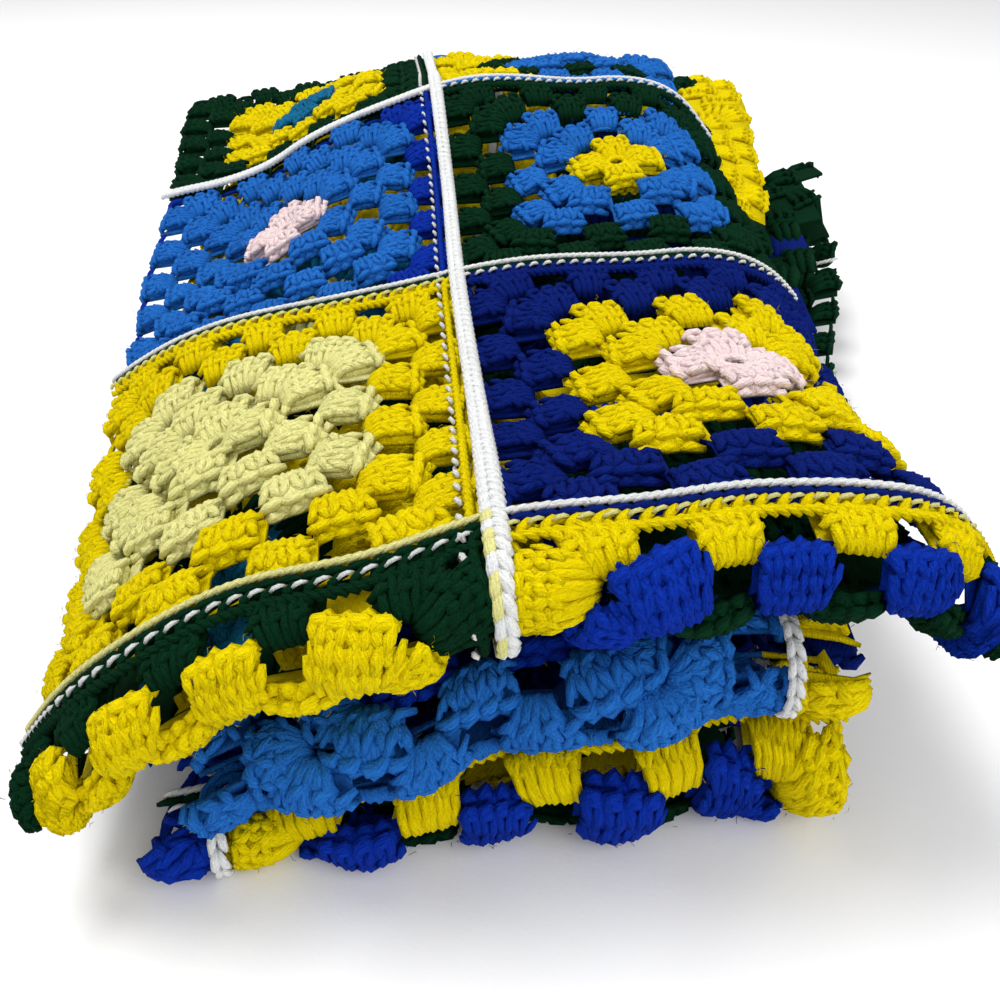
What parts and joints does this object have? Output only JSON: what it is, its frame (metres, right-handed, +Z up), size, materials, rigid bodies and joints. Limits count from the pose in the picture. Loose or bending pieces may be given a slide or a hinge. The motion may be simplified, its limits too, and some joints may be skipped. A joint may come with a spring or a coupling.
{
  "type": "folded granny square blanket",
  "caption": "Crocheted blanket of joined granny squares in acrylic yarn, folded back and forth into a loose stack that lies flat.",
  "frame": {"origin": "middle of the folded stack's footprint, on the surface it lies on", "axes": "+Z up, front folds towards -Y, the cloth's loose top edge at the back towards +Y, +X to the right seen from the front"},
  "size_m": [0.323, 0.4339, 0.1155],
  "materials": {
    "yarn": "soft acrylic yarn in many colours",
    "yellow_yarn": "soft acrylic yarn",
    "lemon_yarn": "soft acrylic yarn",
    "light_blue_yarn": "soft acrylic yarn",
    "royal_blue_yarn": "soft acrylic yarn",
    "navy_yarn": "soft acrylic yarn",
    "green_yarn": "soft acrylic yarn",
    "pink_yarn": "soft acrylic yarn",
    "teal_yarn": "soft acrylic yarn",
    "white_yarn": "soft acrylic yarn"
  },
  "bodies": {
    "root": {"blanket": "yarn"}
  },
  "joints": []
}
